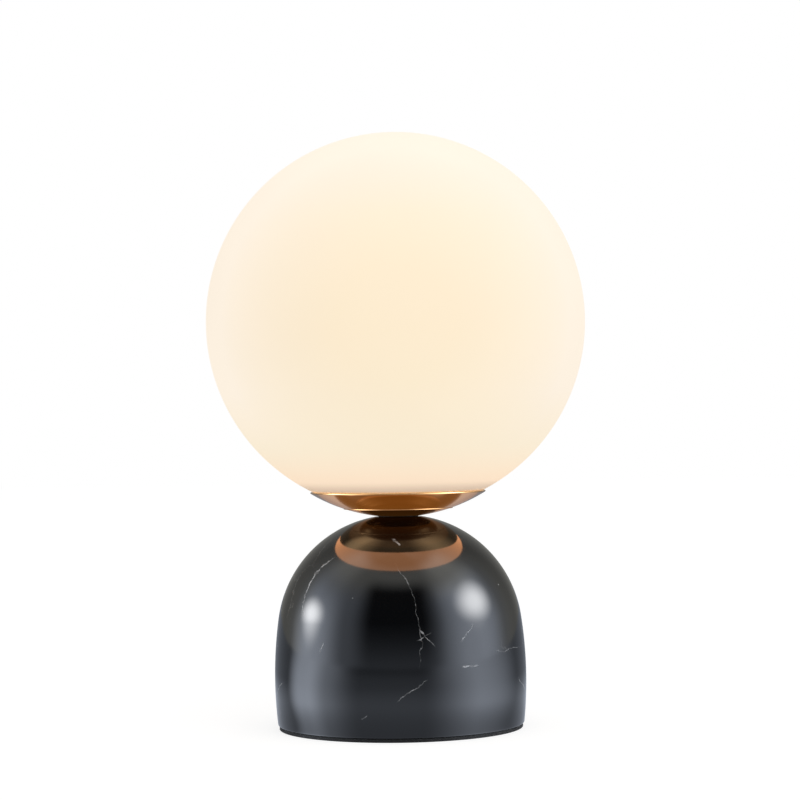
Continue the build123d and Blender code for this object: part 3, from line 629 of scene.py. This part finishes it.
def mottled_finish(name, colour, shade, roughness, size, depth, metallic, ior):
    """A surface whose colour, gloss and height vary over spots of one size."""
    material, tree, shader, place = start_finish(name, colour, roughness, metallic, ior)
    spots = add(tree, "TexNoise", {
        "Vector": place, "Scale": per_metre(size), "Detail": 4.0, "Roughness": 0.6})
    fine = add(tree, "TexNoise", {"Vector": place, "Scale": per_metre(size / 6), "Detail": 2.0})
    tint = add(tree, "Mix", {"Factor": spots, 6: colour, 7: shade}, data_type="RGBA")
    gloss = add(tree, "MapRange", {
        "Value": fine, "To Min": roughness * 0.75, "To Max": roughness * 1.25})
    bump = add(tree, "Bump", {"Height": fine, "Distance": depth * MM, "Strength": 0.6})
    feed(tree, shader, {"Base Color": tint.outputs[2], "Roughness": gloss, "Normal": bump})
    return material


def foam():
    # EVA foam, closed cell, skived: dull black with pinprick cells.
    material, tree, shader, place = start_finish("EVA foam, closed cell", linear("#141414"), 0.95)
    cells = add(tree, "TexVoronoi", {"Vector": place, "Scale": per_metre(0.7)}).outputs["Distance"]
    tint = add(tree, "Mix", {
        "Factor": cells, 6: linear("#0C0C0C"), 7: linear("#242424")}, data_type="RGBA")
    feed(tree, shader, {
        "Base Color": tint.outputs[2],
        "Roughness": add(tree, "MapRange", {"Value": cells, "To Min": 0.85, "To Max": 1.0}),
        "Normal": add(tree, "Bump", {"Height": cells, "Distance": 0.15 * MM, "Strength": 0.8}),
    })
    return material


def silicone():
    # Silicone rubber, moulded and uncoloured: milky, half clear, soft shine.
    material, tree, shader, place = start_finish(
        "Silicone, moulded", linear("#E4E6E3"), 0.36, ior=1.41)
    bloom = add(tree, "TexNoise", {"Vector": place, "Scale": per_metre(3), "Detail": 3.0})
    tint = add(tree, "Mix", {
        "Factor": bloom, 6: linear("#DADDD9"), 7: linear("#F0F1EE")}, data_type="RGBA")
    feed(tree, shader, {
        "Transmission Weight": 0.45,
        "Base Color": tint.outputs[2],
        "Roughness": add(tree, "MapRange", {"Value": bloom, "To Min": 0.28, "To Max": 0.44}),
    })
    return material


def lit_opal_plastic(fittings):
    # Polycarbonate, moulded and opal: the bulb's cover, lit evenly by the chips inside.
    material, tree, shader, place = start_finish(
        "Opal polycarbonate, moulded", linear("#F2EEE6"), 0.3, ior=1.58)
    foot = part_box("bulb_cover")[0].z
    height = add(tree, "SeparateXYZ", {"Vector": place}).outputs["Z"]
    level = ramps(tree, (height, (foot, foot + 6 * MM, 0.55, 1.0)))
    light = add(tree, "VectorMath", {
        0: fittings.bulb_glow[:3], "Scale": level}, operation="SCALE")
    fine = add(tree, "TexNoise", {"Vector": place, "Scale": per_metre(0.5)})
    feed(tree, shader, {
        "Emission Color": light, "Emission Strength": 0.8,
        "Roughness": add(tree, "MapRange", {"Value": fine, "To Min": 0.26, "To Max": 0.36}),
    })
    return material


# Pieces

def lamp_settings(context):
    return context.scene.globe_lamp


def dish_arcs(globe, dish):
    """The dish's middle face: its radius, its centre's height, how far below the
    globe's centre it lies, and the rim's angle from straight down."""
    rim = dish.radius - dish.wall / 2
    rim_reach = globe.radius + dish.glass_gap + dish.wall / 2
    seat = (dish.seat_inner + dish.seat_outer) / 2
    seat_reach = globe.radius + dish.seat_gap + dish.seat_thickness + THREAD_GAP + dish.wall / 2
    rim_depth = math.sqrt(rim_reach ** 2 - rim ** 2)
    seat_depth = math.sqrt(seat_reach ** 2 - seat ** 2)
    drop = (seat_reach ** 2 - rim_reach ** 2) / (2 * (seat_depth - rim_depth))
    curve = math.hypot(rim, rim_depth - drop)
    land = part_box("brass_dish")[0].z
    centre = land + math.sqrt((curve + dish.wall / 2) ** 2 - dish.land_radius ** 2)
    return curve, centre, drop, math.asin(rim / curve)


class OpalGlobe(bpy.types.Operator):
    """Blow the opal globe: an even wall with a fire-polished mouth"""

    bl_idname = "globe_lamp.opal_globe"
    bl_label = "Opal globe"
    bl_options = {"REGISTER", "UNDO"}

    def execute(self, context):
        globe = lamp_settings(context).globe
        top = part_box("glass_globe")[1].z
        centre = (0.0, top - globe.radius)
        middle = globe.radius - globe.wall / 2
        mouth = math.asin((globe.mouth_radius + globe.wall / 2) / middle)
        bm, vert = start_outline(0.0, top)
        vert = arc_to(bm, vert, centre, math.pi - mouth, 112)
        lip = point_on(centre, middle, math.pi - mouth)
        vert = arc_to(bm, vert, lip, math.pi, 10)
        arc_to(bm, vert, centre, mouth - math.pi, 64)
        turn(bm)
        piece = make_piece(bm, "opal_globe", opal_glass(globe), sharp=60)
        put_in_place(piece, "globe", "glass_globe")
        # Reflections see the stand-in lights of the stage instead
        piece.visible_glossy = False
        return {"FINISHED"}


class SpunDish(bpy.types.Operator):
    """Spin the brass dish with its bead and rounded rim"""

    bl_idname = "globe_lamp.spun_dish"
    bl_label = "Spun brass dish"
    bl_options = {"REGISTER", "UNDO"}

    def execute(self, context):
        lamp = lamp_settings(context)
        dish = lamp.dish
        curve, height, drop, rim = dish_arcs(lamp.globe, dish)
        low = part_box("brass_dish")[0].z
        floor = low + dish.wall
        centre = (0.0, height)
        outer = curve + dish.wall / 2
        inner = curve - dish.wall / 2
        hole = TUBE_RADIUS + FIT_GAP
        start = math.asin(dish.land_radius / outer)
        bead = math.asin(dish.bead_radius / outer)
        half = dish.bead_size / outer
        bm, first = start_outline(hole, low)
        vert = line_to(bm, first, dish.land_radius, low)
        vert = arc_to(bm, vert, centre, start - (bead - half), 20)
        vert = arc_to(bm, vert, point_on(centre, outer, math.pi - bead), -math.pi, 8)
        vert = arc_to(bm, vert, centre, (bead + half) - rim, 24)
        vert = arc_to(bm, vert, point_on(centre, curve, math.pi - rim), -math.pi, 10)
        floor_angle = math.acos((height - floor) / inner)
        vert = arc_to(bm, vert, centre, rim - floor_angle, 30)
        vert = line_to(bm, vert, hole, floor)
        close_outline(bm, first, vert)
        turn(bm)
        piece = make_piece(bm, "spun_dish", spun_brass(dish), sharp=50)
        put_in_place(piece, "base", "brass_dish")
        return {"FINISHED"}


class SeatRing(bpy.types.Operator):
    """Mould the silicone ring between the dish and the glass"""

    bl_idname = "globe_lamp.seat_ring"
    bl_label = "Silicone ring"
    bl_options = {"REGISTER", "UNDO"}

    def execute(self, context):
        lamp = lamp_settings(context)
        dish = lamp.dish
        curve, height, drop, rim = dish_arcs(lamp.globe, dish)
        under = curve - dish.wall / 2 - THREAD_GAP
        over = lamp.globe.radius + dish.seat_gap
        glass = (0.0, height + drop)
        start = math.pi - math.asin(dish.seat_inner / under)
        end = math.pi - math.asin(dish.seat_outer / under)
        top_end = math.pi - math.asin(dish.seat_outer / over)
        top_start = math.pi - math.asin(dish.seat_inner / over)
        bm, first = start_outline(*point_on((0.0, height), under, start))
        vert = arc_to(bm, first, (0.0, height), end - start, 12)
        vert = line_to(bm, vert, *point_on(glass, over, top_end))
        vert = arc_to(bm, vert, glass, top_start - top_end, 12)
        close_outline(bm, first, vert)
        turn(bm, 160)
        edges = [edge for edge in bm.edges if edge.calc_face_angle(0.0) > math.radians(60)]
        round_edges(bm, edges, 0.25 * MM, 3)
        piece = make_piece(bm, "seat_ring", silicone())
        put_in_place(piece, "base", "globe_seat")
        return {"FINISHED"}


def cut_with(piece, cutter):
    """Take the cutter's shape out of the piece and drop the cutter."""
    cut = piece.modifiers.new("Cut", "BOOLEAN")
    cut.operation = "DIFFERENCE"
    cut.solver = "EXACT"
    cut.object = cutter
    graph = bpy.context.evaluated_depsgraph_get()
    mesh = bpy.data.meshes.new_from_object(piece.evaluated_get(graph))
    piece.modifiers.clear()
    old = piece.data
    name = old.name
    piece.data = mesh
    bpy.data.meshes.remove(old)
    mesh.name = name
    bpy.data.objects.remove(cutter)


def inlet_cutter(stone):
    """The inlet: a bore for the bush's sleeve, opened out for its flange."""
    sleeve = BUSH_SLEEVE + FIT_GAP
    flange = BUSH_FLANGE + FIT_GAP
    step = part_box("cord_bush")[1].y - BUSH_FLANGE_DEPTH
    # From inside the recess to clear outside the stone
    start, end = 20 * MM, 90 * MM
    bm, vert = start_outline(0.0, start)
    for corner in ((sleeve, start), (sleeve, step), (flange, step), (flange, end), (0.0, end)):
        vert = line_to(bm, vert, *corner)
    turn(bm, 64)
    # Turned to point along +Y and lifted to the inlet's height
    quarter = Matrix.Rotation(-math.pi / 2, 3, "X")
    bmesh.ops.rotate(bm, verts=bm.verts, cent=(0, 0, 0), matrix=quarter)
    bmesh.ops.translate(bm, verts=bm.verts, vec=(0, 0, stone.inlet_height))
    return bm


class MarbleDome(bpy.types.Operator):
    """Turn the marble dome, with its recess, tube hole and cord inlet"""

    bl_idname = "globe_lamp.marble_dome"
    bl_label = "Marble dome"
    bl_options = {"REGISTER", "UNDO"}

    def execute(self, context):
        stone = lamp_settings(context).marble
        crown = (0.0, stone.apex - stone.crown_curve)
        step = stone.crown_curve - stone.shoulder_curve
        shoulder = point_on(crown, step, stone.crown_slope)
        step = stone.shoulder_curve - stone.side_curve
        side = point_on(shoulder, step, stone.shoulder_slope)
        land = stone.apex - stone.land_depth
        start = math.acos(1 - stone.land_depth / stone.crown_curve)
        foot = math.pi / 2 + math.asin((side[1] - stone.pad_height) / stone.side_curve)
        bm, first = start_outline(stone.tube_hole, land)
        vert = line_to(bm, first, *point_on(crown, stone.crown_curve, start))
        vert = arc_to(bm, vert, crown, stone.crown_slope - start, 6)
        vert = arc_to(bm, vert, shoulder, stone.shoulder_slope - stone.crown_slope, 56)
        vert = arc_to(bm, vert, side, foot - stone.shoulder_slope, 16)
        foot_radius = vert.co.x
        vert = line_to(bm, vert, stone.recess_radius, stone.pad_height)
        vert = line_to(bm, vert, stone.recess_radius, stone.recess_top)
        vert = line_to(bm, vert, stone.tube_hole, stone.recess_top)
        close_outline(bm, first, vert)
        turn(bm)
        round_edges(bm, ring_edges(bm, foot_radius, stone.pad_height), stone.edge_round, 6)
        material = black_marble(stone)
        piece = make_piece(bm, "marble_dome", material)
        cut_with(piece, make_piece(inlet_cutter(stone), "inlet_cutter", material))
        piece.data.set_sharp_from_angle(angle=math.radians(35))
        put_in_place(piece, "base", "marble_base")
        return {"FINISHED"}


class FoamPad(bpy.types.Operator):
    """Cut the foam pad under the marble"""

    bl_idname = "globe_lamp.foam_pad"
    bl_label = "Foam pad"
    bl_options = {"REGISTER", "UNDO"}

    def execute(self, context):
        low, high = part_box("base_pad")
        bm, first = start_outline(0.0, low.z)
        vert = line_to(bm, first, high.x, low.z)
        vert = line_to(bm, vert, high.x, high.z)
        line_to(bm, vert, 0.0, high.z)
        turn(bm, 160)
        edges = ring_edges(bm, high.x, low.z) + ring_edges(bm, high.x, high.z)
        round_edges(bm, edges, 0.3 * MM, 3)
        piece = make_piece(bm, "foam_pad", foam())
        put_in_place(piece, "base", "base_pad")
        return {"FINISHED"}


class Fittings(bpy.types.Operator):
    """Finish the holder, the tube and the wiring"""

    bl_idname = "globe_lamp.fittings"
    bl_label = "Fittings"
    bl_options = {"REGISTER", "UNDO"}

    def execute(self, context):
        settings = lamp_settings(context).fittings
        for name, ground, spots, *surface, slot, pieces in FITTING_FINISHES:
            colour = linear(ground) if ground.startswith("#") else getattr(settings, ground)
            material = mottled_finish(name, colour, linear(spots), *surface)
            for node, piece, edge in pieces:
                finished_copy(node, piece, material, edge * MM)
        cover = lit_opal_plastic(settings)
        finished_copy("bulb_cover", "opal_capsule", cover, 0.0)
        return {"FINISHED"}


class Stage(bpy.types.Operator):
    """Set the floor, the soft light and the camera"""

    bl_idname = "globe_lamp.stage"
    bl_label = "Stage"
    bl_options = {"REGISTER", "UNDO"}

    def execute(self, context):
        stage = lamp_settings(context).stage
        scene = context.scene
        self.add_camera(scene, stage)
        self.add_floor()
        self.add_world(scene, stage)
        self.add_lamps(scene, stage)
        scene.view_settings.view_transform = "Standard"
        return {"FINISHED"}

    def add_camera(self, scene, stage):
        data = bpy.data.cameras.new("Camera")
        data.lens = stage.lens
        camera = bpy.data.objects.new("Camera", data)
        camera.location = (stage.aside, -stage.distance, stage.height)
        look = Vector((stage.aside, 0.0, stage.aim)) - camera.location
        aim = look.to_track_quat("-Z", "Y") @ Quaternion((0, 0, 1), stage.roll)
        camera.rotation_euler = aim.to_euler()
        scene.collection.objects.link(camera)
        scene.camera = camera

    def add_floor(self):
        bm = bmesh.new()
        bmesh.ops.create_grid(bm, x_segments=2, y_segments=2, size=6.0)
        material = bpy.data.materials.new("White paper floor")
        material.use_nodes = True
        tree = material.node_tree
        tree.nodes.clear()
        rays = add(tree, "LightPath").outputs
        place = add(tree, "TexCoord").outputs["Object"]
        turned = degrees_round(tree, add(tree, "SeparateXYZ", {"Vector": place}).outputs)
        distance = add(tree, "VectorMath", {0: place}, operation="LENGTH").outputs["Value"]
        # Close to the foot a reflection leaves at twice the angle it is seen at
        near = add(tree, "Math", {0: FOOT_REACH, 1: distance}, operation="DIVIDE")
        near = add(tree, "Math", {0: near, 1: near, 2: 1.0}, operation="MULTIPLY_ADD")
        leaving = add(tree, "Math", {0: turned, 1: near}, operation="MULTIPLY")
        windows, behind, streak, front = (
            (either_way(tree, leaving, middle), ramp)
            for middle, ramp in (PAPER_WINDOWS, PAPER_BEHIND, PAPER_PAINTED_STREAK, PAPER_FRONT))
        lit = add(tree, "Math", {
            0: ramps(tree, windows, behind), 1: ramps(tree, streak)}, operation="ADD")
        dim = ramps(tree, front, (distance, PAPER_FAR))
        kept = add(tree, "Math", {0: 1.0, 1: dim}, operation="SUBTRACT")
        lit = add(tree, "Math", {0: lit, 1: kept}, operation="MULTIPLY")
        # Painted light and shade that only reflections see: the windows' glow and a streak, dimmed
        # near the foot and brightened close in
        mirrored = add(tree, "Math", {
            0: lit, 1: ramps(tree, (distance, PAPER_FOOT_SHADE)), 2: ramps(tree, (distance, PAPER_CLOSE_LIGHT)),
        }, operation="MULTIPLY_ADD")
        # White to the camera, with the shadow kept on top; the light it sends up is plain
        seen = seen_straight(tree, rays)
        plain = add(tree, "MapRange", {
            "Value": seen, "To Min": PAPER_SENDS, "To Max": PAPER_SHOWS})
        glossy = rays["Is Glossy Ray"]
        strength = add(tree, "Mix", {"Factor": glossy, 2: plain, 3: mirrored}, data_type="FLOAT")
        tint = add(tree, "Mix", {"Factor": glossy, 6: WHITE, 7: COOL_WALL}, data_type="RGBA")
        white = add(tree, "Emission", {"Color": tint.outputs[2], "Strength": strength})
        shade = add(tree, "Mix", {
            "Factor": glossy, 6: linear("#A4A4A4"), 7: linear("#000000")}, data_type="RGBA")
        paper = add(tree, "BsdfDiffuse", {"Color": shade.outputs[2]})
        both = add(tree, "AddShader", {0: white, 1: paper})
        add(tree, "OutputMaterial", {"Surface": both})
        floor = make_piece(bm, "floor", material)
        floor.location.z = -0.02 * MM

    def add_world(self, scene, stage):
        world = bpy.data.worlds.new("Studio")
        world.use_nodes = True
        scene.world = world
        tree = world.node_tree
        tree.nodes.clear()
        rays = add(tree, "LightPath").outputs
        way = add(tree, "TexCoord").outputs["Generated"]
        parts = add(tree, "SeparateXYZ", {"Vector": way}).outputs
        turned = degrees_round(tree, parts)
        raised = add(tree, "Math", {0: parts["Z"]}, operation="ARCSINE")
        raised = add(tree, "Math", {0: raised}, operation="DEGREES")
        room = WALL_LEVEL
        for middle, across, up in WALL_PATCHES:
            patch = ramps(tree, (either_way(tree, turned, middle), across), (raised, up))
            room = add(tree, "Math", {0: room, 1: patch}, operation="ADD")
        dark = ramps(
            tree, (either_way(tree, turned, OPENING_MIDDLE), OPENING_ROUND),
            *((raised, up) for up in OPENING_UP))
        kept = add(tree, "Math", {0: 1.0, 1: dark}, operation="SUBTRACT")
        for share in (kept, ramps(tree, (raised, CEILING_UP))):
            room = add(tree, "Math", {0: room, 1: share}, operation="MULTIPLY")
        towards = add(tree, "CombineXYZ", {"X": turned, "Y": raised})
        lights = 0.0
        for around, above, width, height, level in SOFT_SPOTS:
            off = add(tree, "VectorMath", {0: towards, 1: (around, above, 0)}, operation="SUBTRACT")
            off = add(tree, "VectorMath", {0: off, 1: (width, height, 1)}, operation="DIVIDE")
            far = add(tree, "VectorMath", {0: off}, operation="LENGTH").outputs["Value"]
            light = ramps(tree, (far, (0.1, 1.0, level, 0.0)))
            lights = add(tree, "Math", {0: lights, 1: light}, operation="ADD")
        cool = ramps(tree, (either_way(tree, turned, 0), COOL_ROUND), (raised, COOL_UP))
        tint = add(tree, "Mix", {"Factor": cool, 6: WARM_WALL, 7: COOL_WALL}, data_type="RGBA")
        walls = add(tree, "Background", {"Color": tint.outputs[2], "Strength": room})
        spots = add(tree, "Background", {"Color": WHITE, "Strength": lights})
        mirrored = add(tree, "AddShader", {0: walls, 1: spots})
        plain = add(tree, "Background", {"Color": WHITE, "Strength": stage.room_light})
        white = add(tree, "Background", {"Color": WHITE, "Strength": 1.0})
        seen = seen_straight(tree, rays)
        lit = add(tree, "MixShader", {0: rays["Is Glossy Ray"], 1: plain, 2: mirrored})
        shown = add(tree, "MixShader", {0: seen, 1: lit, 2: white})
        add(tree, "OutputWorld", {"Surface": shown})

    def add_lamps(self, scene, stage):
        data = bpy.data.lights.new("Soft lamp", "AREA")
        data.shape = "DISK"
        data.size = 1.2
        data.energy = stage.lamp_power
        lamp = bpy.data.objects.new("Soft lamp", data)
        lamp.location = (0.5, -0.9, 1.8)
        look = Vector((0, 0, 0.15)) - lamp.location
        lamp.rotation_euler = look.to_track_quat("-Z", "Y").to_euler()
        lamp.visible_glossy = False
        scene.collection.objects.link(lamp)
        # The lit globe as the marble and the brass see it: brighter than a picture
        # can show, so a light of its size stands in for it there. The lit stone in
        # turn shines on the brass from a ball that fits inside its dome.
        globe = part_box("glass_globe")[1].z - 100 * MM
        both = ("marble_dome", "spun_dish")
        for name, height, radius, level, colour, receiver, blockers in (
            ("Globe light on marble", globe, 99.5 * MM, 0.8, (1.0, 0.40, 0.15), both[0], both),
            ("Globe light on brass", globe, 99.5 * MM, 0.1, (1.0, 0.72, 0.45), both[1], both),
            ("Stone light on brass", 40.1 * MM, 72.3 * MM, 0.0035, (1.0, 0.45, 0.1), both[1], ()),
        ):
            power = stage.glow_power * level
            glow = self.add_linked(
                scene, name, "POINT", power, colour, height, "globe", receiver, blockers)
            glow.data.shadow_soft_size = radius
            glow.data.use_soft_falloff = False
        # The warm crown of the marble as the underside of the dish mirrors it
        crown = self.add_linked(
            scene, "Crown light on brass", "AREA", 0.0058, (1.0, 0.45, 0.1),
            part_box("marble_base")[1].z - 2 * MM, "base", "spun_dish", ())
        crown.data.shape = "DISK"
        crown.data.size = 108 * MM
        crown.rotation_euler = (math.pi, 0, 0)

    def add_linked(self, scene, name, kind, power, colour, height, body, receiver, blockers):
        """A light on the axis that falls on one piece, shaded by the blockers only."""
        data = bpy.data.lights.new(name, kind)
        data.color = colour
        data.energy = power
        light = bpy.data.objects.new(name, data)
        light.location = (0, 0, height)
        light.visible_camera = False
        lit = bpy.data.collections.new(name + ", lit")
        shading = bpy.data.collections.new(name + ", shading")
        lit.objects.link(bpy.data.objects[receiver])
        for blocker in blockers:
            shading.objects.link(bpy.data.objects[blocker])
        light.light_linking.receiver_collection = lit
        light.light_linking.blocker_collection = shading
        scene.collection.objects.link(light)
        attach(light, body)
        return light


class LampPanel(bpy.types.Panel):
    """Lists the lamp's sizes, colours and pieces"""

    bl_idname = "VIEW3D_PT_globe_lamp"
    bl_label = "Glass Globe Lamp"
    bl_space_type = "VIEW_3D"
    bl_region_type = "UI"
    bl_category = "Globe Lamp"

    def draw(self, context):
        lamp = lamp_settings(context)
        for name in ("globe", "dish", "marble", "fittings", "stage"):
            group = getattr(lamp, name)
            box = self.layout.box()
            box.label(text=name.capitalize())
            for setting in group.__annotations__:
                box.prop(group, setting)
        for piece in PIECES:
            self.layout.operator(piece.bl_idname)


PIECES = (OpalGlobe, SpunDish, SeatRing, MarbleDome, FoamPad, Fittings, Stage)
CLASSES = (
    GlobeSettings, DishSettings, MarbleSettings, FittingSettings, StageSettings, LampSettings,
    *PIECES, LampPanel,
)


def register():
    for item in CLASSES:
        bpy.utils.register_class(item)
    bpy.types.Scene.globe_lamp = PointerProperty(type=LampSettings)


def unregister():
    del bpy.types.Scene.globe_lamp
    for item in reversed(CLASSES):
        bpy.utils.unregister_class(item)


def main():
    register()
    for piece in PIECES:
        group, name = piece.bl_idname.split(".")
        getattr(getattr(bpy.ops, group), name)()


if __name__ == "__main__":
    main()
